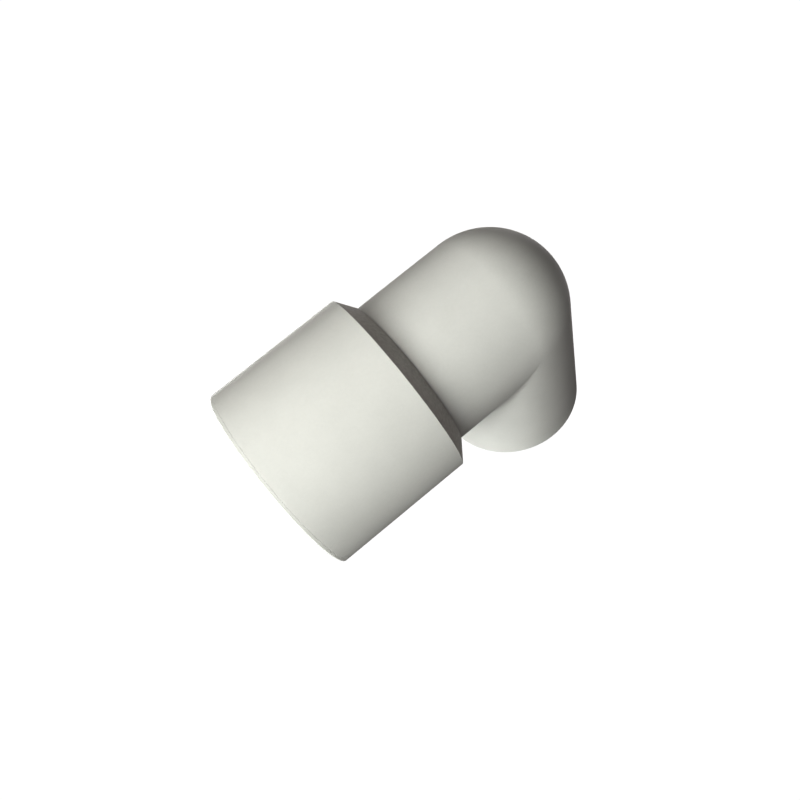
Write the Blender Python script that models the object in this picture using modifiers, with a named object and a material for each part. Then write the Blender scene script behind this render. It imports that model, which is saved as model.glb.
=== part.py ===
"""Concentric 60/100 boiler flue elbow, 90 degrees, with a 125 mm boiler-side collar.

Metres, +Z up along the collar's axis, +X along the outlet leg, symmetric about y = 0.
The origin is the centre of the collar's mouth, where the elbow meets the boiler.
"""
import math

import bmesh
import bpy
from mathutils import Matrix, Vector

for old in list(bpy.data.objects):
    bpy.data.objects.remove(old, do_unlink=True)

MM = 0.001
GAP = 0.3 * MM                 # gap between pieces that touch

# Outer casing
CASING_R = 50.0 * MM           # 100 mm casing
CASING_WALL = 2.6 * MM
CORNER_Z = 161.0 * MM          # where the two axes meet
OUTLET_X = 107.0 * MM          # end of the outlet leg
OUTLET_R = 51.5 * MM           # mould draft opens the outlet leg towards its end
END_LAND = 2.0 * MM            # and stops short of the end, which is parallel
THROAT_X = 54.0 * MM           # just past the throat
CASING_SEGMENTS = 64

# Boiler-side collar
COLLAR_R = 62.5 * MM           # 125 mm collar
COLLAR_WALL = 3.0 * MM
RIM_Z = 89.0 * MM              # end of the straight part
SHOULDER_Z = 97.4 * MM         # top of the conical shoulder
SHOULDER_LIP_R = 51.2 * MM     # the shoulder's thin top edge round the casing
LEDGE_Z = 85.3 * MM            # the casing's end rests on this ledge
LEDGE = 2.5 * MM
NECK_WALL = 3.0 * MM

# Collar mouth: retaining ring and lip seal
FLANGE = 2.3 * MM
FLANGE_ROUND = 0.9 * MM
RETAINER_BORE = 56.8 * MM      # clears the boiler's 112 mm air nozzle
RETAINER_TOP = 6.1 * MM
SNAP_LOW, SNAP_HIGH = 3.5 * MM, 5.3 * MM
SNAP_DEPTH = 0.8 * MM
SEAL_RIB_LOW, SEAL_RIB_HIGH = 15.0 * MM, 17.4 * MM
SEAL_RIB_R = 57.0 * MM
AIR_LIP_R = 54.3 * MM

# Flue gas duct
DUCT_R = 30.0 * MM             # 60 mm duct
DUCT_WALL = 2.0 * MM
BEND_R = 40.0 * MM             # centre-line radius of the swept bend
INLET_Z = 14.0 * MM            # mouth of the boiler-side socket
DUCT_END_X = 103.0 * MM        # mouth of the outlet socket
SOCKET_DEPTH = 50.0 * MM
SOCKET_BORE = 30.4 * MM
SOCKET_R = SOCKET_BORE + DUCT_WALL
MOUTH_FLARE = 0.6 * MM
BEAD_BORE = 34.4 * MM          # the bead holds the lip seal
BEAD_LOW, BEAD_HIGH = 5.0 * MM, 13.0 * MM
BEAD_SLOPE = 0.8 * MM
DUCT_LIP_R = 28.8 * MM
DUCT_SEGMENTS = 48
BEND_STEPS = 10

# Centring spacers
SPACER_LENGTH = 10.0 * MM
SPACER_RING = 2.2 * MM
SPACER_ARM = 3.0 * MM
SPACER_ARMS = 4
SPACER_FOOT = 11.0 * MM
FOOT_DEPTH = 2.0 * MM
CLIP_GAP = 0.35 * MM           # the ring and the casing's bore are both faceted
INLET_SPACER_Z = 104.0 * MM
OUTLET_SPACER_X = 60.0 * MM

WHITE = (0.80, 0.80, 0.77)
GREY = (0.55, 0.56, 0.56)
DARK_GREY = (0.30, 0.31, 0.32)
BLACK = (0.025, 0.025, 0.027)

part = bpy.data.collections.new("flue_elbow")
bpy.context.scene.collection.children.link(part)
boiler_axis = bpy.data.objects.new("boiler_axis", None)
part.objects.link(boiler_axis)


def new_piece(name, data, colour, roughness, location=(0.0, 0.0, 0.0), tilt_deg=0.0):
    """Link one named piece with its own material; tilt turns it about the y axis."""
    mat = bpy.data.materials.new(name)
    mat.use_nodes = True
    shader = mat.node_tree.nodes["Principled BSDF"]
    shader.inputs["Base Color"].default_value = (*colour, 1.0)
    shader.inputs["Roughness"].default_value = roughness
    data.materials.append(mat)
    piece = bpy.data.objects.new(name, data)
    piece.location = location
    piece.rotation_euler = (0.0, math.radians(tilt_deg), 0.0)
    piece.parent = boiler_axis
    part.objects.link(piece)
    return piece


def turn(piece, segments):
    """Turn a closed outline once about the piece's own z axis."""
    screw = piece.modifiers.new("turn", "SCREW")
    screw.axis = "Z"
    screw.angle = 2.0 * math.pi
    screw.steps = segments
    screw.render_steps = segments
    screw.use_merge_vertices = True
    screw.merge_threshold = 0.00001
    screw.use_smooth_shade = True


def outline_mesh(name, outline):
    """Closed outline of (radius, height) points, running down its outer side."""
    mesh = bpy.data.meshes.new(name)
    count = len(outline)
    mesh.from_pydata([(r, 0.0, z) for r, z in outline], [(i, (i + 1) % count) for i in range(count)], [])
    return mesh


def arc(centre_r, centre_z, radius, start_deg, end_deg, steps=4):
    points = []
    for i in range(steps + 1):
        angle = math.radians(start_deg + (end_deg - start_deg) * i / steps)
        points.append((centre_r + radius * math.cos(angle), centre_z + radius * math.sin(angle)))
    return points


def ring(bm, radius, z, segments):
    """An open circle that a tube grows from; returns its edges."""
    made = bmesh.ops.create_circle(bm, cap_ends=False, radius=radius, segments=segments,
                                   matrix=Matrix.Translation((0.0, 0.0, z)))
    return list({edge for vert in made["verts"] for edge in vert.link_edges})


def step(axis, advance, grow=1.0, axis_z=0.0):
    """Move along an axis while growing round it; axis_z is the axis's height when it is level."""
    centre = Matrix.Translation((0.0, 0.0, axis_z))
    spread = Matrix.Diagonal([1.0 if a else grow for a in axis] + [1.0])
    return Matrix.Translation(Vector(axis) * advance) @ centre @ spread @ centre.inverted()


def extend(bm, loop, moves):
    """Extrude an open end ring by ring, applying one move to each new ring."""
    for move in moves:
        made = bmesh.ops.extrude_edge_only(bm, edges=loop)["geom"]
        loop = [e for e in made if isinstance(e, bmesh.types.BMEdge) and e.is_boundary]
        bmesh.ops.transform(bm, matrix=move, verts=list({v for e in loop for v in e.verts}))
    return loop


def walled(name, bm, wall, colour, roughness):
    """Close an open skin with an even wall on its inner side."""
    bmesh.ops.recalc_face_normals(bm, faces=bm.faces)
    mesh = bpy.data.meshes.new(name)
    bm.to_mesh(mesh)
    bm.free()
    mesh.shade_smooth()
    mesh.set_sharp_from_angle(angle=math.radians(30.0))
    piece = new_piece(name, mesh, colour, roughness)
    solid = piece.modifiers.new("wall", "SOLIDIFY")
    solid.thickness = wall
    solid.offset = -1.0
    solid.use_even_offset = True
    return piece


def leg_radius(x):
    """Outer radius of the outlet leg, which opens with draft from the ball heel on."""
    return CASING_R + (OUTLET_R - CASING_R) * min(1.0, x / (OUTLET_X - END_LAND))


# Outer elbow: one moulding. A circle is drawn up the collar leg, its throat half is sheared
# down onto the mitre plane, its heel half is spun into a quarter ball, and both are drawn out
# along the outlet leg.
bm = bmesh.new()
foot = ring(bm, CASING_R, LEDGE_Z + GAP, CASING_SEGMENTS)
top = extend(bm, foot, [step((0, 0, 1), CORNER_Z - LEDGE_Z - GAP)])
for vert in {v for edge in top for v in edge.verts}:
    if vert.co.x > 0.0:
        vert.co.z -= vert.co.x
heel = [edge for edge in top if all(v.co.x < 0.01 * MM for v in edge.verts)]
bmesh.ops.spin(bm, geom=heel + list({v for edge in heel for v in edge.verts}), cent=(0.0, 0.0, CORNER_Z),
               axis=(0.0, 1.0, 0.0), angle=math.radians(90.0), steps=CASING_SEGMENTS // 4)
bmesh.ops.remove_doubles(bm, verts=bm.verts, dist=0.01 * MM)
mitre = [e for e in bm.edges if e.is_boundary and min(v.co.z for v in e.verts) > LEDGE_Z + 1.0 * MM]
past_throat = extend(bm, mitre, [Matrix.Identity(4)])
throat_ring = {v for edge in past_throat for v in edge.verts}
for vert in throat_ring:
    vert.co.x = THROAT_X
bmesh.ops.transform(bm, matrix=step((1, 0, 0), 0.0, leg_radius(THROAT_X) / CASING_R, CORNER_Z),
                    verts=list(throat_ring))
drafted = step((1, 0, 0), OUTLET_X - END_LAND - THROAT_X, OUTLET_R / leg_radius(THROAT_X), CORNER_Z)
extend(bm, past_throat, [drafted, step((1, 0, 0), END_LAND)])
walled("outer_elbow", bm, CASING_WALL, WHITE, 0.38)

# Boiler collar: turned sleeve with a conical shoulder. Its neck is a socket whose ledge stops
# the casing's end; the two are bonded there.
collar_bore = COLLAR_R - COLLAR_WALL
neck_bore = CASING_R + GAP
neck_r = neck_bore + NECK_WALL
slope = math.atan2(SHOULDER_Z - RIM_Z, COLLAR_R - SHOULDER_LIP_R)


def under_shoulder(r):
    """Height of the shoulder's underside at a radius, one wall below its top."""
    return RIM_Z + (COLLAR_R - r) * math.tan(slope) - COLLAR_WALL / math.cos(slope)


collar_outline = [
    (neck_bore, SHOULDER_Z), (SHOULDER_LIP_R, SHOULDER_Z), (COLLAR_R - 0.3 * MM, RIM_Z + 0.1 * MM),
    (COLLAR_R, RIM_Z - 0.3 * MM), (COLLAR_R, FLANGE + GAP), (collar_bore, FLANGE + GAP),
    (collar_bore, SNAP_LOW), (collar_bore + SNAP_DEPTH, SNAP_LOW), (collar_bore + SNAP_DEPTH, SNAP_HIGH),
    (collar_bore, SNAP_HIGH + 0.4 * MM), (collar_bore, SEAL_RIB_LOW), (SEAL_RIB_R, SEAL_RIB_LOW),
    (SEAL_RIB_R, SEAL_RIB_HIGH), (collar_bore, SEAL_RIB_HIGH + 1.6 * MM),
    (collar_bore, under_shoulder(collar_bore)), (neck_r, under_shoulder(neck_r)),
    (neck_r, LEDGE_Z - LEDGE), (CASING_R - CASING_WALL, LEDGE_Z - LEDGE), (CASING_R - CASING_WALL, LEDGE_Z),
    (neck_bore, LEDGE_Z),
]
turn(new_piece("boiler_collar", outline_mesh("boiler_collar", collar_outline), WHITE, 0.36), CASING_SEGMENTS)

# Seal retainer: ring snapped into the collar's bore. Its flange finishes the mouth with a
# rounded edge and keeps the lip seal in.
sleeve_r = collar_bore - GAP
barb_r = sleeve_r + SNAP_DEPTH - 0.1 * MM
retainer_outline = [
    (RETAINER_BORE, RETAINER_TOP), (sleeve_r - 0.4 * MM, RETAINER_TOP), (sleeve_r, SNAP_HIGH),
    (barb_r, SNAP_LOW + GAP + 0.7 * MM), (barb_r, SNAP_LOW + GAP + 0.2 * MM), (sleeve_r, SNAP_LOW + GAP),
    (sleeve_r, FLANGE), (COLLAR_R, FLANGE),
    *arc(COLLAR_R - FLANGE_ROUND, FLANGE_ROUND, FLANGE_ROUND, 0.0, -90.0),
    (RETAINER_BORE + 0.6 * MM, 0.0), (RETAINER_BORE, 0.6 * MM),
]
turn(new_piece("seal_retainer", outline_mesh("seal_retainer", retainer_outline), WHITE, 0.40), CASING_SEGMENTS)


# Lip seals: a square root held in the groove, and one lip that leans inwards, away from the
# mouth, so that the nozzle or duct pushed in from the mouth bends it.
def lip_seal(root_outer_r, lip_r, front, back, root, lip=1.3 * MM):
    root_r = root_outer_r - root
    return [
        (root_r, back), (root_outer_r, back), (root_outer_r, front), (root_r, front),
        (lip_r + 0.1 * lip, back - 1.8 * MM), (lip_r, back - 0.8 * MM), (lip_r + 0.5 * lip, back - 0.4 * MM),
        (root_r, front + lip + 2.0 * MM),
    ]


collar_seal_outline = lip_seal(collar_bore - GAP, AIR_LIP_R, RETAINER_TOP + GAP, SEAL_RIB_LOW - GAP,
                               2.2 * MM)
turn(new_piece("collar_seal", outline_mesh("collar_seal", collar_seal_outline), BLACK, 0.55), CASING_SEGMENTS)

duct_seal_outline = lip_seal(BEAD_BORE - GAP, DUCT_LIP_R, BEAD_LOW + GAP, BEAD_HIGH - GAP, 3.2 * MM)
turn(new_piece("inlet_seal", outline_mesh("inlet_seal", duct_seal_outline), BLACK, 0.55,
               location=(0.0, 0.0, INLET_Z)), DUCT_SEGMENTS)
turn(new_piece("outlet_seal", outline_mesh("outlet_seal", duct_seal_outline), BLACK, 0.55,
               location=(DUCT_END_X, 0.0, CORNER_Z), tilt_deg=-90.0), DUCT_SEGMENTS)

# Inner elbow: 60 mm duct of even wall, drawn up from the inlet socket, spun round the bend and
# drawn out to the outlet socket. Each socket has a flared mouth and a bead for its seal.
bead_r = BEAD_BORE + DUCT_WALL
socket = [  # (distance in from the mouth, outer radius)
    (0.0, SOCKET_R + MOUTH_FLARE), (1.2 * MM, SOCKET_R),
    (BEAD_LOW - DUCT_WALL - BEAD_SLOPE / 2, SOCKET_R), (BEAD_LOW - DUCT_WALL + BEAD_SLOPE / 2, bead_r),
    (BEAD_HIGH + DUCT_WALL - BEAD_SLOPE / 2, bead_r), (BEAD_HIGH + DUCT_WALL + BEAD_SLOPE / 2, SOCKET_R),
    (SOCKET_DEPTH, SOCKET_R), (SOCKET_DEPTH + 3.0 * MM, DUCT_R),
]


def steps_between(stations, axis, axis_z=0.0):
    return [step(axis, abs(d2 - d1), r2 / r1, axis_z) for (d1, r1), (d2, r2) in zip(stations, stations[1:])]


bm = bmesh.new()
bend_z = CORNER_Z - BEND_R
inlet = ring(bm, socket[0][1], INLET_Z, DUCT_SEGMENTS)
bend_start = extend(bm, inlet, steps_between(socket + [(bend_z - INLET_Z, DUCT_R)], (0, 0, 1)))
spun = bmesh.ops.spin(bm, geom=bend_start + list({v for edge in bend_start for v in edge.verts}),
                      cent=(BEND_R, 0.0, bend_z), axis=(0.0, 1.0, 0.0), angle=math.radians(90.0),
                      steps=BEND_STEPS)
bend_end = [e for e in spun["geom_last"] if isinstance(e, bmesh.types.BMEdge)]
outlet = [(DUCT_END_X - BEND_R, DUCT_R)] + socket[::-1]
extend(bm, bend_end, steps_between(outlet, (1, 0, 0), CORNER_Z))
walled("inner_elbow", bm, DUCT_WALL, GREY, 0.45)


# Spacers: a ring on the duct with four arms, each ending in a curved foot against the casing.
def star(ring_bore, reach):
    """Outline of the star and of its hole, in the plane of the ring."""
    ring_r, foot_r = ring_bore + SPACER_RING, reach - FOOT_DEPTH
    pitch = 2.0 * math.pi / SPACER_ARMS
    root, under = math.asin(0.5 * SPACER_ARM / ring_r), math.asin(0.5 * SPACER_ARM / foot_r)
    foot = 0.5 * SPACER_FOOT / reach
    polar = []
    for arm in range(SPACER_ARMS):
        mid = pitch * (arm + 0.5)
        polar += [(ring_r, mid - root), (foot_r, mid - under), (foot_r, mid - foot)]
        polar += [(reach, mid - foot + foot * i / 2) for i in range(5)]
        polar += [(foot_r, mid + foot), (foot_r, mid + under), (ring_r, mid + root)]
        polar += [(ring_r, mid + root + (pitch - 2.0 * root) * i / 9) for i in range(1, 9)]
    hole = [(ring_bore, 2.0 * math.pi * k / DUCT_SEGMENTS) for k in range(DUCT_SEGMENTS)]
    return polar, hole


def spacer(name, ring_bore, reach, location, tilt_deg):
    curve = bpy.data.curves.new(name, "CURVE")
    curve.dimensions = "2D"
    curve.fill_mode = "BOTH"
    curve.extrude = SPACER_LENGTH / 2
    for polar in star(ring_bore, reach):
        spline = curve.splines.new("POLY")
        spline.points.add(len(polar) - 1)
        for point, (r, angle) in zip(spline.points, polar):
            point.co = (r * math.cos(angle), r * math.sin(angle), 0.0, 1.0)
        spline.use_cyclic_u = True
    new_piece(name, curve, DARK_GREY, 0.5, location, tilt_deg)


spacer("inlet_spacer", DUCT_R + CLIP_GAP, CASING_R - CASING_WALL - CLIP_GAP,
       (0.0, 0.0, INLET_SPACER_Z + SPACER_LENGTH / 2), 0.0)
spacer("outlet_spacer", SOCKET_R + CLIP_GAP, leg_radius(OUTLET_SPACER_X) - CASING_WALL - CLIP_GAP,
       (OUTLET_SPACER_X + SPACER_LENGTH / 2, 0.0, CORNER_Z), 90.0)
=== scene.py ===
"""Looks of a concentric 60/100 boiler flue elbow, piece by piece, in the order it is put together.

Metres. +Z runs up the collar's axis, +X along the outlet leg; the collar's mouth stands at z = 0.
"""

import math

import bmesh
import bpy
from mathutils import Matrix, Vector


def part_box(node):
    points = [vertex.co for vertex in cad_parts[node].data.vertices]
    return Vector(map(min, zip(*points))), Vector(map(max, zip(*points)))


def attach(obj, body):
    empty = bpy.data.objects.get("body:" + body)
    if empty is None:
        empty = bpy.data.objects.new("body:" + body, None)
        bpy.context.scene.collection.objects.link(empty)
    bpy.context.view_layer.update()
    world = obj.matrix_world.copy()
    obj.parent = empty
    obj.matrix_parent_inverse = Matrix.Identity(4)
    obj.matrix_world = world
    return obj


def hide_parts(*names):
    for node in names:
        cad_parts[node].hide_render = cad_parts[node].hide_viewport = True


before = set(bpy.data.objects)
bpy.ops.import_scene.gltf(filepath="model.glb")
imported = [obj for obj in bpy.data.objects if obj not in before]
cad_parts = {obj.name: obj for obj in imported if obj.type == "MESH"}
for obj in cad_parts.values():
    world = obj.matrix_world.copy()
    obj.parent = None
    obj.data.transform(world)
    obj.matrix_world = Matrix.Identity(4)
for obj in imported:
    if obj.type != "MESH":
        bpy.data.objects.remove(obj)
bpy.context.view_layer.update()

# ---------------------------------------------------------------------------------------------
# Outer elbow
# The casing round the flue duct: one white plastic moulding, 100 mm across. Its heel is a ball,
# its throat a mitre whose crease the mould blends, and its outlet leg opens slightly with draft.
MM = 0.001
CASING_R = 50.0 * MM
CASING_WALL = 2.6 * MM
CORNER_Z = 161.0 * MM                      # height at which the two axes meet
FOOT_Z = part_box("outer_elbow")[0].z
OUTLET_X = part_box("outer_elbow")[1].x
OUTLET_R = 51.5 * MM
THROAT_X = 60.0 * MM                       # just past the throat and its blend
END_LAND = 2.0 * MM                        # the last of the leg is parallel
LIP_EASE = 0.5 * MM                        # softened edges of the open end
THROAT_BLEND = 6.5 * MM                    # radius of the blend in the crease
BLEND_FADE = 24.0 * MM                     # the blend dies out as the crease does
SIDES = 176
BEND_STEPS = 36


def closed_wall(name, rings):
    """A mesh that joins each ring of points to the next, and the last ring to the first."""
    bm = bmesh.new()
    loops = [[bm.verts.new(point) for point in ring] for ring in rings]
    for low, high in zip(loops, loops[1:] + loops[:1]):
        for a, b, c, d in zip(low, low[1:] + low[:1], high[1:] + high[:1], high):
            bm.faces.new((a, b, c, d))
    bmesh.ops.recalc_face_normals(bm, faces=bm.faces)
    mesh = bpy.data.meshes.new(name)
    bm.to_mesh(mesh)
    bm.free()
    return mesh


def fit_piece(name, mesh, finish, node):
    """Put one finished piece in place of its plain solid."""
    mesh.shade_smooth()
    mesh.materials.append(finish)
    piece = bpy.data.objects.new(name, mesh)
    bpy.context.scene.collection.objects.link(piece)
    even = piece.modifiers.new("even_shading", "WEIGHTED_NORMAL")
    even.mode = "FACE_AREA"
    even.keep_sharp = True
    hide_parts(node)
    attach(piece, "root")
    return piece


def moulded_plastic(name, pale, deep, roughness, spread, grain, grain_size, cloud_size=35 * MM):
    """Moulded plastic: a faint cloudiness in its colour, a fine grain, and a sheen that varies."""
    finish = bpy.data.materials.new(name)
    finish.use_nodes = True
    nodes, links = finish.node_tree.nodes, finish.node_tree.links
    shader = nodes["Principled BSDF"]
    shader.inputs["IOR"].default_value = 1.49
    shader.inputs["Specular IOR Level"].default_value = 0.3
    place = nodes.new("ShaderNodeTexCoord")

    cloud = nodes.new("ShaderNodeTexNoise")
    cloud.inputs["Scale"].default_value = 1.0 / cloud_size
    cloud.inputs["Detail"].default_value = 4.0
    cloud.inputs["Roughness"].default_value = 0.55
    links.new(place.outputs["Object"], cloud.inputs["Vector"])
    speck = nodes.new("ShaderNodeTexNoise")
    speck.inputs["Scale"].default_value = 1.0 / (1.6 * MM)
    speck.inputs["Detail"].default_value = 2.0
    links.new(place.outputs["Object"], speck.inputs["Vector"])
    blend = nodes.new("ShaderNodeMath")
    blend.operation = "MULTIPLY_ADD"
    blend.inputs[1].default_value = 0.35
    links.new(speck.outputs["Fac"], blend.inputs[0])
    links.new(cloud.outputs["Fac"], blend.inputs[2])
    tone = nodes.new("ShaderNodeValToRGB")
    tone.color_ramp.elements[0].position = 0.45
    tone.color_ramp.elements[0].color = (*deep, 1.0)
    tone.color_ramp.elements[1].position = 0.90
    tone.color_ramp.elements[1].color = (*pale, 1.0)
    links.new(blend.outputs["Value"], tone.inputs["Fac"])
    links.new(tone.outputs["Color"], shader.inputs["Base Color"])

    sheen = nodes.new("ShaderNodeMapRange")
    sheen.inputs["From Min"].default_value = 0.3
    sheen.inputs["From Max"].default_value = 0.7
    sheen.inputs["To Min"].default_value = roughness - spread
    sheen.inputs["To Max"].default_value = roughness + spread
    links.new(cloud.outputs["Fac"], sheen.inputs["Value"])
    links.new(sheen.outputs["Result"], shader.inputs["Roughness"])

    skin = nodes.new("ShaderNodeTexNoise")
    skin.inputs["Scale"].default_value = 1.0 / grain_size
    skin.inputs["Detail"].default_value = 3.0
    links.new(place.outputs["Object"], skin.inputs["Vector"])
    bump = nodes.new("ShaderNodeBump")
    bump.inputs["Strength"].default_value = 1.0
    bump.inputs["Distance"].default_value = grain
    links.new(skin.outputs["Fac"], bump.inputs["Height"])
    links.new(bump.outputs["Normal"], shader.inputs["Normal"])
    return finish


def draft_at(x):
    """How far the outlet leg has opened with draft at x."""
    return (OUTLET_R - CASING_R) * max(0.0, min(1.0, x / (OUTLET_X - END_LAND)))


def casing_point(angle, radius, part, along):
    """A point on the casing at an angle round it, where 0 is the throat side.

    The part is "leg", "bend" or "outlet", and along is the share of the way up to the bend, round
    it, or from it to just past the throat.
    """
    inward = radius * math.cos(angle)
    side = radius * math.sin(angle)
    if inward <= 0.0:                      # heel: turns about the corner itself
        turn_r, turn_x, turn_z = -inward, 0.0, CORNER_Z
    else:                                  # throat: a small blend turns the other way
        blend_r = THROAT_BLEND * min(1.0, inward / BLEND_FADE) + (CASING_R - radius) * inward / radius
        turn_r, turn_x, turn_z = blend_r, inward + blend_r, CORNER_Z - inward - blend_r
    if part == "leg":
        return Vector((inward, side, FOOT_Z + along * (turn_z - FOOT_Z)))
    if part == "bend":
        swing = 0.5 * math.pi * along
        x = turn_x - turn_r * math.cos(swing)
        opening = 1.0 + math.sin(swing) * draft_at(x) / radius
        drop = CORNER_Z - turn_z - turn_r * math.sin(swing)
        return Vector((x, side * opening, CORNER_Z - drop * opening))
    x = turn_x + along * (THROAT_X - turn_x)
    opening = 1.0 + draft_at(x) / radius
    return Vector((x, side * opening, CORNER_Z - inward * opening))


def casing_ring(radius, part, along):
    """All the points of one ring of the casing."""
    return [casing_point(2.0 * math.pi * (k + 0.5) / SIDES, radius, part, along) for k in range(SIDES)]


def leg_end_ring(x, radius):
    """A plain ring round the outlet leg's axis."""
    angles = [2.0 * math.pi * (k + 0.5) / SIDES for k in range(SIDES)]
    return [Vector((x, radius * math.sin(a), CORNER_Z - radius * math.cos(a))) for a in angles]


def casing_skin(radius):
    """Rings of one skin of the casing, from its foot to just short of its open end."""
    rings = [casing_ring(radius, "leg", t) for t in (0.0, 0.01, 0.25, 0.5, 0.75, 1.0)]
    rings += [casing_ring(radius, "bend", (k + 1) / BEND_STEPS) for k in range(BEND_STEPS)]
    rings += [casing_ring(radius, "outlet", t) for t in (0.5, 1.0)]
    for t in (0.33, 0.67, 1.0):
        x = THROAT_X + t * (OUTLET_X - END_LAND - THROAT_X)
        rings.append(leg_end_ring(x, radius + draft_at(x)))
    return rings + [leg_end_ring(OUTLET_X - LIP_EASE, radius + draft_at(OUTLET_X))]


outer_skin = casing_skin(CASING_R)
inner_skin = casing_skin(CASING_R - CASING_WALL)
open_end = []
for k in range(1, 4):                      # round over the outer edge, then the inner one
    a = 0.5 * math.pi * k / 3
    open_end.append(leg_end_ring(OUTLET_X - LIP_EASE * (1.0 - math.sin(a)),
                                 OUTLET_R - LIP_EASE * (1.0 - math.cos(a))))
for k in range(3):
    a = 0.5 * math.pi * k / 3
    open_end.append(leg_end_ring(OUTLET_X - LIP_EASE * (1.0 - math.cos(a)),
                                 OUTLET_R - CASING_WALL + LIP_EASE * (1.0 - math.sin(a))))
casing_white = moulded_plastic("casing_white", (0.845, 0.850, 0.820), (0.800, 0.806, 0.776),
                               roughness=0.50, spread=0.04, grain=0.012 * MM, grain_size=0.9 * MM)
fit_piece("casing_moulding", closed_wall("casing_moulding", outer_skin + open_end + inner_skin[::-1]),
          casing_white, "outer_elbow")

# ---------------------------------------------------------------------------------------------
# Boiler collar
# A white turned sleeve, 125 mm across, that pushes over the boiler's air nozzle. A cone closes
# it down to a neck, which is bonded round the elbow's foot. A groove holds the retaining ring.
COLLAR_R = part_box("boiler_collar")[1].y
COLLAR_WALL = 3.0 * MM
COLLAR_BORE = COLLAR_R - COLLAR_WALL
RIM_Z = 89.0 * MM
SHOULDER_Z = 97.4 * MM
SHOULDER_LIP_R = 51.2 * MM
LEDGE_Z, LEDGE = 85.3 * MM, 2.5 * MM       # the casing's foot stands on this ledge
BOND = 0.12 * MM                           # thickness of the bond line
NECK_WALL = 3.0 * MM
FLANGE = 2.3 * MM                          # the retaining ring's flange closes the mouth
JOINT = 0.03 * MM                          # hairline between flange and sleeve
SNAP_LOW, SNAP_HIGH, SNAP_DEPTH = 3.5 * MM, 5.3 * MM, 0.8 * MM
SEAL_RIB_LOW, SEAL_RIB_HIGH, SEAL_RIB_R = 15.0 * MM, 17.4 * MM, 57.0 * MM


def eased(corners, steps=3):
    """Outline of (radius, height, easing) corners, each rounded to the radius of its easing."""
    outline = []
    for k, (r, z, ease) in enumerate(corners):
        here = Vector((r, z))
        if not ease:
            outline.append((r, z))
            continue
        back = (Vector(corners[k - 1][:2]) - here).normalized()
        on = (Vector(corners[(k + 1) % len(corners)][:2]) - here).normalized()
        half = 0.5 * math.acos(max(-1.0, min(1.0, back.dot(on))))
        centre = here + (back + on).normalized() * ease / math.sin(half)
        start = here + back * ease / math.tan(half) - centre
        sweep = math.pi - 2.0 * half
        if back.x * on.y - back.y * on.x > 0.0:
            sweep = -sweep
        for i in range(steps + 1):
            a = sweep * i / steps
            outline.append((centre.x + start.x * math.cos(a) - start.y * math.sin(a),
                            centre.y + start.x * math.sin(a) + start.y * math.cos(a)))
    return outline


def turned(name, outline, sides):
    """A ring turned about the z axis from its closed outline."""
    angles = [2.0 * math.pi * (k + 0.5) / sides for k in range(sides)]
    return closed_wall(name, [[Vector((r * math.cos(a), r * math.sin(a), z)) for a in angles]
                              for r, z in outline])


slope = math.atan2(SHOULDER_Z - RIM_Z, COLLAR_R - SHOULDER_LIP_R)


def under_cone(r):
    """Height of the cone's underside at a radius, one wall below its top."""
    return RIM_Z + (COLLAR_R - r) * math.tan(slope) - COLLAR_WALL / math.cos(slope)


neck_bore = CASING_R + BOND
neck_r = neck_bore + NECK_WALL
collar_outline = eased([
    (neck_bore, SHOULDER_Z - 0.25 * MM, 0.0), (neck_bore + 0.3 * MM, SHOULDER_Z, 0.12 * MM),
    (SHOULDER_LIP_R, SHOULDER_Z, 0.25 * MM), (COLLAR_R, RIM_Z, 0.35 * MM),
    (COLLAR_R, FLANGE + JOINT, 0.05 * MM), (COLLAR_BORE, FLANGE + JOINT, 0.05 * MM),
    (COLLAR_BORE, SNAP_LOW, 0.15 * MM), (COLLAR_BORE + SNAP_DEPTH, SNAP_LOW, 0.1 * MM),
    (COLLAR_BORE + SNAP_DEPTH, SNAP_HIGH, 0.1 * MM), (COLLAR_BORE, SNAP_HIGH + 0.4 * MM, 0.15 * MM),
    (COLLAR_BORE, SEAL_RIB_LOW, 0.3 * MM), (SEAL_RIB_R, SEAL_RIB_LOW, 0.3 * MM),
    (SEAL_RIB_R, SEAL_RIB_HIGH, 0.3 * MM), (COLLAR_BORE, SEAL_RIB_HIGH + 1.6 * MM, 0.5 * MM),
    (COLLAR_BORE, under_cone(COLLAR_BORE), 0.8 * MM), (neck_r, under_cone(neck_r), 0.8 * MM),
    (neck_r, LEDGE_Z - LEDGE, 0.4 * MM), (CASING_R - CASING_WALL, LEDGE_Z - LEDGE, 0.4 * MM),
    (CASING_R - CASING_WALL, LEDGE_Z, 0.2 * MM), (neck_bore, LEDGE_Z, 0.0),
])
collar_white = moulded_plastic("collar_white", (0.850, 0.854, 0.822), (0.806, 0.811, 0.780),
                               roughness=0.48, spread=0.04, grain=0.010 * MM, grain_size=0.9 * MM)
# Painted light: the shoulder cone is paler than the rest of the collar, which lifts the shade on this
# upward-facing face. Its strong speckle is the moulding's real grain.
shoulder_grain_and_painted_light = moulded_plastic("shoulder_grain_and_painted_light", (0.93, 0.91, 0.87), (0.78, 0.76, 0.72),
                                 roughness=0.60, spread=0.06, grain=0.05 * MM, grain_size=0.9 * MM,
                                 cloud_size=2 * MM)
collar = fit_piece("collar_sleeve", turned("collar_sleeve", collar_outline, SIDES),
                   collar_white, "boiler_collar")
collar.data.materials.append(shoulder_grain_and_painted_light)
# Faces above the rim that face upwards take the paler finish, so the shoulder's shade is painted
# lighter.
for face in collar.data.polygons:
    if face.center.z > RIM_Z and face.normal.z > 0.6:
        face.material_index = 1

# ---------------------------------------------------------------------------------------------
# Seal retainer
# A white ring that snaps into the collar's groove. Its flange gives the mouth a rounded edge,
# and its sleeve stops the lip seal from being pulled out.
FLANGE_ROUND = 0.9 * MM
RETAINER_BORE = 56.8 * MM
RETAINER_TOP = 6.1 * MM
SLIDE = 0.15 * MM                          # play between sleeve and collar

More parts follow.
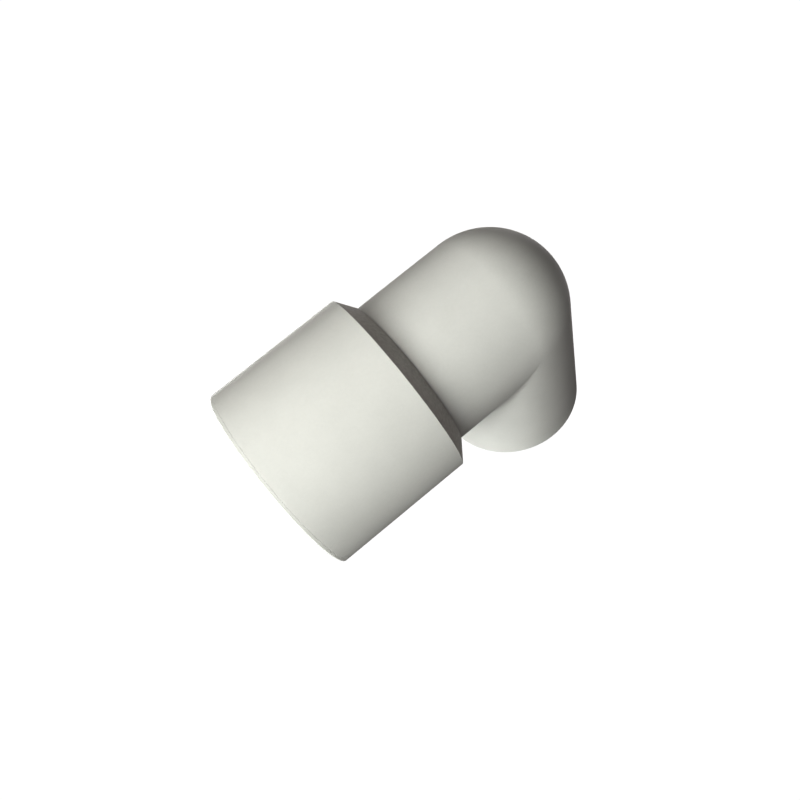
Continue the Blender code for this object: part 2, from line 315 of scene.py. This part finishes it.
sleeve_r = COLLAR_BORE - SLIDE
barb_r = sleeve_r + SNAP_DEPTH - 0.1 * MM
retainer_outline = eased([
    (RETAINER_BORE, RETAINER_TOP, 0.3 * MM), (sleeve_r - 0.4 * MM, RETAINER_TOP, 0.2 * MM),
    (sleeve_r, SNAP_HIGH, 0.0), (barb_r, SNAP_LOW + 1.0 * MM, 0.15 * MM),
    (barb_r, SNAP_LOW + 0.45 * MM, 0.1 * MM), (sleeve_r, SNAP_LOW + 0.3 * MM, 0.0),
    (sleeve_r, FLANGE, 0.1 * MM), (COLLAR_R, FLANGE, 0.05 * MM),
    (COLLAR_R, 0.0, FLANGE_ROUND), (RETAINER_BORE, 0.0, 0.6 * MM),
], steps=6)
retainer_white = moulded_plastic("retainer_white", (0.850, 0.854, 0.822), (0.812, 0.817, 0.786),
                                 roughness=0.44, spread=0.04, grain=0.008 * MM, grain_size=0.9 * MM)
fit_piece("snap_ring", turned("snap_ring", retainer_outline, SIDES),
          retainer_white, "seal_retainer")

# ---------------------------------------------------------------------------------------------
# Lip seals
# Three moulded rubber rings, black and slightly dusty: one in the collar for the air nozzle, one
# in each duct socket. A square root sits in the groove and a thin lip leans away from the mouth.
AIR_LIP_R = 54.3 * MM
DUCT_LIP_R = 28.8 * MM
BEAD_BORE = 34.4 * MM
BEAD_LOW, BEAD_HIGH = 5.0 * MM, 13.0 * MM
GRIP = 0.15 * MM                           # room round a seal's root
INLET_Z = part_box("inner_elbow")[0].z
DUCT_END_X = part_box("inner_elbow")[1].x
DUCT_SIDES = 128


def lip_seal(root_outer_r, lip_r, front, back, root, lip=1.3 * MM):
    """Outline of a seal with its mouth side at front; root and lip are their thicknesses."""
    root_r = root_outer_r - root
    return eased([
        (root_r, back, 0.4 * MM), (root_outer_r, back, 0.4 * MM), (root_outer_r, front, 0.4 * MM),
        (root_r, front, 0.4 * MM), (lip_r + 0.1 * lip, back - 1.8 * MM, 0.35 * MM),
        (lip_r, back - 0.8 * MM, 0.3 * MM), (lip_r + 0.5 * lip, back - 0.4 * MM, 0.25 * MM),
        (root_r, front + lip + 2.0 * MM, 0.6 * MM),
    ])


def rubber(name):
    """Black rubber: a matt skin with pale bloom in patches and a fine pitted grain."""
    finish = bpy.data.materials.new(name)
    finish.use_nodes = True
    nodes, links = finish.node_tree.nodes, finish.node_tree.links
    shader = nodes["Principled BSDF"]
    shader.inputs["IOR"].default_value = 1.52
    place = nodes.new("ShaderNodeTexCoord")
    bloom = nodes.new("ShaderNodeTexNoise")
    bloom.inputs["Scale"].default_value = 1.0 / (14 * MM)
    bloom.inputs["Detail"].default_value = 5.0
    links.new(place.outputs["Object"], bloom.inputs["Vector"])
    tone = nodes.new("ShaderNodeValToRGB")
    tone.color_ramp.elements[0].position = 0.42
    tone.color_ramp.elements[0].color = (0.018, 0.018, 0.020, 1.0)
    tone.color_ramp.elements[1].position = 0.75
    tone.color_ramp.elements[1].color = (0.052, 0.051, 0.050, 1.0)
    links.new(bloom.outputs["Fac"], tone.inputs["Fac"])
    links.new(tone.outputs["Color"], shader.inputs["Base Color"])
    matt = nodes.new("ShaderNodeMapRange")
    matt.inputs["To Min"].default_value = 0.48
    matt.inputs["To Max"].default_value = 0.72
    links.new(bloom.outputs["Fac"], matt.inputs["Value"])
    links.new(matt.outputs["Result"], shader.inputs["Roughness"])
    pits = nodes.new("ShaderNodeTexNoise")
    pits.inputs["Scale"].default_value = 1.0 / (0.35 * MM)
    links.new(place.outputs["Object"], pits.inputs["Vector"])
    bump = nodes.new("ShaderNodeBump")
    bump.inputs["Distance"].default_value = 0.03 * MM
    links.new(pits.outputs["Fac"], bump.inputs["Height"])
    links.new(bump.outputs["Normal"], shader.inputs["Normal"])
    return finish


seal_rubber = rubber("seal_rubber")
air_seal = lip_seal(COLLAR_BORE - GRIP, AIR_LIP_R, RETAINER_TOP + GRIP, SEAL_RIB_LOW - GRIP, 2.2 * MM)
fit_piece("air_seal", turned("air_seal", air_seal, SIDES), seal_rubber, "collar_seal")

duct_seal = lip_seal(BEAD_BORE - GRIP, DUCT_LIP_R, BEAD_LOW + GRIP, BEAD_HIGH - GRIP, 3.2 * MM)
duct_seal_mesh = turned("duct_seal_inlet", duct_seal, DUCT_SIDES)
duct_seal_mesh.transform(Matrix.Translation((0.0, 0.0, INLET_Z)))
fit_piece("duct_seal_inlet", duct_seal_mesh, seal_rubber, "inlet_seal")
duct_seal_mesh = turned("duct_seal_outlet", duct_seal, DUCT_SIDES)
duct_seal_mesh.transform(Matrix.Translation((DUCT_END_X, 0.0, CORNER_Z))
                         @ Matrix.Rotation(math.radians(-90.0), 4, "Y"))
fit_piece("duct_seal_outlet", duct_seal_mesh, seal_rubber, "outlet_seal")

# ---------------------------------------------------------------------------------------------
# Inner elbow
# The flue gas duct, 60 mm light grey polypropylene with an even wall: a swept bend between two
# 50 mm push-fit sockets, each with a flared mouth and a bead that takes its seal.
DUCT_R = 30.0 * MM
DUCT_WALL = 2.0 * MM
BEND_R = 40.0 * MM
SOCKET_R = 32.4 * MM
SOCKET_DEPTH = 50.0 * MM
MOUTH_FLARE = 0.6 * MM
BEAD_SLOPE = 0.8 * MM
DUCT_BEND_STEPS = 28

rise = CORNER_Z - BEND_R - INLET_Z         # straight run below the bend
round_bend = 0.5 * math.pi * BEND_R
duct_length = rise + round_bend + DUCT_END_X - BEND_R


def duct_ring(along, radius):
    """A ring round the duct's centre line, at a distance along it from the inlet's mouth."""
    if along < rise:
        centre, lean = Vector((0.0, 0.0, INLET_Z + along)), 0.0
    elif along <= rise + round_bend:
        lean = (along - rise) / BEND_R
        centre = Vector((BEND_R * (1.0 - math.cos(lean)), 0.0,
                         CORNER_Z - BEND_R + BEND_R * math.sin(lean)))
    else:
        centre, lean = Vector((BEND_R + along - rise - round_bend, 0.0, CORNER_Z)), 0.5 * math.pi
    across = Vector((math.cos(lean), 0.0, -math.sin(lean)))
    side = Vector((0.0, 1.0, 0.0))
    angles = [2.0 * math.pi * (k + 0.5) / DUCT_SIDES for k in range(DUCT_SIDES)]
    return [centre + radius * (across * math.cos(a) + side * math.sin(a)) for a in angles]


bead_r = BEAD_BORE + DUCT_WALL
socket = [  # (distance in from the mouth, outer radius), softened at every step
    (0.35 * MM, SOCKET_R + MOUTH_FLARE), (0.7 * MM, SOCKET_R + 0.5 * MOUTH_FLARE), (1.4 * MM, SOCKET_R),
    (BEAD_LOW - DUCT_WALL - 0.8 * BEAD_SLOPE, SOCKET_R),
    (BEAD_LOW - DUCT_WALL - 0.4 * BEAD_SLOPE, SOCKET_R + 0.5 * MM),
    (BEAD_LOW - DUCT_WALL + 0.3 * BEAD_SLOPE, bead_r - 0.5 * MM),
    (BEAD_LOW - DUCT_WALL + 0.9 * BEAD_SLOPE, bead_r),
    (BEAD_HIGH + DUCT_WALL - 0.9 * BEAD_SLOPE, bead_r),
    (BEAD_HIGH + DUCT_WALL - 0.3 * BEAD_SLOPE, bead_r - 0.5 * MM),
    (BEAD_HIGH + DUCT_WALL + 0.4 * BEAD_SLOPE, SOCKET_R + 0.5 * MM),
    (BEAD_HIGH + DUCT_WALL + 0.8 * BEAD_SLOPE, SOCKET_R),
    (0.5 * SOCKET_DEPTH, SOCKET_R), (SOCKET_DEPTH, SOCKET_R),
    (SOCKET_DEPTH + 0.8 * MM, SOCKET_R - 0.25 * MM), (SOCKET_DEPTH + 2.2 * MM, DUCT_R + 0.25 * MM),
    (SOCKET_DEPTH + 3.0 * MM, DUCT_R),
]
inside = [(d, r - DUCT_WALL) for d, r in socket]
inside[3:7] = [(d + DUCT_WALL, r) for d, r in inside[3:7]]
inside[7:11] = [(d - DUCT_WALL, r) for d, r in inside[7:11]]


def duct_skin(mouth, radius):
    """Stations of one skin, from the inlet's mouth round the bend to the outlet's mouth."""
    bend = [(rise + round_bend * k / DUCT_BEND_STEPS, radius) for k in range(DUCT_BEND_STEPS + 1)]
    return mouth + bend + [(duct_length - d, r) for d, r in mouth[::-1]]


duct_out = duct_skin(socket, DUCT_R)
duct_in = duct_skin(inside, DUCT_R - DUCT_WALL)
inlet_lip = [(0.0, socket[0][1] - 0.35 * MM), (0.0, inside[0][1] + 0.35 * MM)]
outlet_lip = [(duct_length - d, r) for d, r in inlet_lip]
duct_stations = duct_out + outlet_lip + duct_in[::-1] + inlet_lip[::-1]
duct_grey = moulded_plastic("duct_grey", (0.480, 0.487, 0.487), (0.420, 0.428, 0.430),
                            roughness=0.46, spread=0.06, grain=0.02 * MM, grain_size=1.1 * MM)
fit_piece("flue_duct", closed_wall("flue_duct", [duct_ring(s, r) for s, r in duct_stations]),
          duct_grey, "inner_elbow")

# ---------------------------------------------------------------------------------------------
# Spacers
# Two dark grey plastic stars that keep the duct in the middle of the casing and leave the air
# way open: a ring clipped on the duct, and four arms that end in curved feet.
SPACER_LENGTH = 10.0 * MM
SPACER_RING = 2.2 * MM
SPACER_ARM = 3.0 * MM
SPACER_FOOT, FOOT_DEPTH = 11.0 * MM, 2.0 * MM
ARMS = 4
HOLE_SIDES = 96
EDGE = 0.3 * MM                            # softened edges
CLIP = 0.2 * MM                            # play against duct and casing

spacer_grey = moulded_plastic("spacer_grey", (0.105, 0.108, 0.112), (0.078, 0.081, 0.085),
                              roughness=0.50, spread=0.06, grain=0.02 * MM, grain_size=0.8 * MM)


def star(ring_bore, reach):
    """Outline of the star, as (radius, angle) round its centre."""
    ring_r, foot_r = ring_bore + SPACER_RING, reach - FOOT_DEPTH
    pitch = 2.0 * math.pi / ARMS
    root, under = math.asin(0.5 * SPACER_ARM / ring_r), math.asin(0.5 * SPACER_ARM / foot_r)
    foot = 0.5 * SPACER_FOOT / reach
    outline = []
    for arm in range(ARMS):
        mid = pitch * (arm + 0.5)
        outline += [(ring_r, mid - root), (foot_r, mid - under), (foot_r, mid - foot)]
        outline += [(reach, mid - foot + foot * i / 4) for i in range(9)]
        outline += [(foot_r, mid + foot), (foot_r, mid + under), (ring_r, mid + root)]
        outline += [(ring_r, mid + root + (pitch - 2.0 * root) * i / 20) for i in range(1, 20)]
    return outline


def spacer(name, ring_bore, reach, where, node):
    """One star, drawn flat with softened edges and set in its place."""
    hole = [(ring_bore, 2.0 * math.pi * k / HOLE_SIDES) for k in range(HOLE_SIDES)]
    curve = bpy.data.curves.new(name, "CURVE")
    curve.dimensions = "2D"
    curve.fill_mode = "BOTH"
    curve.extrude = SPACER_LENGTH / 2 - EDGE
    curve.bevel_depth = EDGE
    curve.bevel_resolution = 1
    curve.offset = -EDGE
    for outline in (star(ring_bore, reach), hole):
        spline = curve.splines.new("POLY")
        spline.points.add(len(outline) - 1)
        for point, (r, a) in zip(spline.points, outline):
            point.co = (r * math.cos(a), r * math.sin(a), 0.0, 1.0)
        spline.use_cyclic_u = True
    drawn = bpy.data.objects.new(name, curve)
    bpy.context.scene.collection.objects.link(drawn)
    mesh = bpy.data.meshes.new_from_object(drawn.evaluated_get(bpy.context.evaluated_depsgraph_get()))
    bpy.data.objects.remove(drawn)
    mesh.transform(where)
    piece = fit_piece(name, mesh, spacer_grey, node)
    mesh.set_sharp_from_angle(angle=math.radians(50.0))
    return piece


casing_bore = CASING_R - CASING_WALL
inlet_mid = 0.5 * (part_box("inlet_spacer")[0].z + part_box("inlet_spacer")[1].z)
outlet_mid = 0.5 * (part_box("outlet_spacer")[0].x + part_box("outlet_spacer")[1].x)
draft = draft_at(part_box("outlet_spacer")[0].x)
spacer("star_inlet", DUCT_R + CLIP, casing_bore - CLIP,
       Matrix.Translation((0.0, 0.0, inlet_mid)), "inlet_spacer")
spacer("star_outlet", SOCKET_R + CLIP, casing_bore + draft - CLIP,
       Matrix.Translation((outlet_mid, 0.0, CORNER_Z)) @ Matrix.Rotation(math.radians(90.0), 4, "Y"),
       "outlet_spacer")

# ---------------------------------------------------------------------------------------------
# Studio
# A plain white floor under the mouth and a white surround. The floor only fills the view, so
# that the soft light from below can reach the elbow; weaker light fills its top and back.
FLOOR_HALF = 4.0
FLOOR_DROP = 0.2 * MM                      # keeps the floor clear of the mouth
WHITE_LEVEL = 1.05
white = bpy.data.materials.new("studio_white")
white.use_nodes = True
white_nodes, white_links = white.node_tree.nodes, white.node_tree.links
white_nodes.remove(white_nodes["Principled BSDF"])
glow = white_nodes.new("ShaderNodeEmission")
glow.inputs["Color"].default_value = (1.0, 1.0, 1.0, 1.0)
glow.inputs["Strength"].default_value = WHITE_LEVEL
white_links.new(glow.outputs["Emission"], white_nodes["Material Output"].inputs["Surface"])
bm = bmesh.new()
bmesh.ops.create_grid(bm, x_segments=8, y_segments=8, size=FLOOR_HALF)
floor_mesh = bpy.data.meshes.new("floor")
bm.to_mesh(floor_mesh)
bm.free()
floor_mesh.materials.append(white)
floor = bpy.data.objects.new("floor", floor_mesh)
floor.location = (0.0, 0.0, -FLOOR_DROP)
floor.visible_shadow = False
floor.visible_diffuse = False
floor.visible_glossy = False
bpy.context.scene.collection.objects.link(floor)

AMBIENT = (0.118, 0.111, 0.108)
world = bpy.data.worlds.new("surround")
bpy.context.scene.world = world
world.use_nodes = True
sky, sky_links = world.node_tree.nodes, world.node_tree.links
ambient = sky["Background"]
ambient.inputs["Color"].default_value = (*AMBIENT, 1.0)
ambient.inputs["Strength"].default_value = 1.0
seen = sky.new("ShaderNodeBackground")
seen.inputs["Color"].default_value = (1.0, 1.0, 1.0, 1.0)
seen.inputs["Strength"].default_value = WHITE_LEVEL
ray = sky.new("ShaderNodeLightPath")
pick = sky.new("ShaderNodeMixShader")
sky_links.new(ray.outputs["Is Camera Ray"], pick.inputs["Fac"])
sky_links.new(ambient.outputs["Background"], pick.inputs[1])
sky_links.new(seen.outputs["Background"], pick.inputs[2])
sky_links.new(pick.outputs["Shader"], sky["World Output"].inputs["Surface"])

AIM = Vector((0.022, 0.0, 0.105))          # middle of the elbow
LIGHT_DISTANCE = 1.2


def soft_light(name, azimuth, elevation, size, brightness, colour):
    """A square soft box that faces the elbow from a direction given in degrees."""
    lamp = bpy.data.lights.new(name, "AREA")
    lamp.shape = "SQUARE"
    lamp.size = size
    lamp.energy = brightness * LIGHT_DISTANCE * LIGHT_DISTANCE * 4.0 * math.pi
    lamp.color = colour
    box = bpy.data.objects.new(name, lamp)
    az, el = math.radians(azimuth), math.radians(elevation)
    out = Vector((math.cos(az) * math.cos(el), math.sin(az) * math.cos(el), math.sin(el)))
    box.location = AIM + out * LIGHT_DISTANCE
    box.rotation_euler = out.to_track_quat("Z", "Y").to_euler()
    box.visible_camera = False
    bpy.context.scene.collection.objects.link(box)
    return box


soft_light("key", -152.0, -45.0, 0.75, 0.80, (0.990, 1.0, 0.970))
soft_light("side", 160.0, -22.0, 0.60, 0.14, (1.0, 0.975, 0.935))
soft_light("front", -125.0, -39.0, 0.50, 0.08, (0.96, 1.0, 0.97))
soft_light("under_outlet", 4.0, -74.0, 0.50, 0.45, (0.985, 1.0, 0.990))
soft_light("top", 40.0, 38.0, 0.90, 0.20, (1.0, 0.97, 0.97))
soft_light("outlet_side", -40.0, 30.0, 0.60, 0.03, (1.0, 0.96, 0.97))
soft_light("back", 50.0, -8.0, 0.70, 0.40, (1.0, 1.0, 0.97))

# ---------------------------------------------------------------------------------------------
# Camera
# Close to the collar's mouth and low, rolled so that the collar points down to the left.
CONTRAST = 1.3                             # firmer than plain, as a catalogue print is

lens = bpy.data.cameras.new("camera")
lens.sensor_width = 36.0
lens.lens = 27.14
lens.clip_start, lens.clip_end = 0.01, 50.0
camera = bpy.data.objects.new("camera", lens)
camera.location = (-0.30905, -0.19480, 0.05550)
camera.rotation_euler = [math.radians(a) for a in (97.2241, -50.7954, -64.7982)]
bpy.context.scene.collection.objects.link(camera)
bpy.context.scene.camera = camera
bpy.context.scene.view_settings.view_transform = "Standard"
bpy.context.scene.view_settings.gamma = 1.0 / CONTRAST
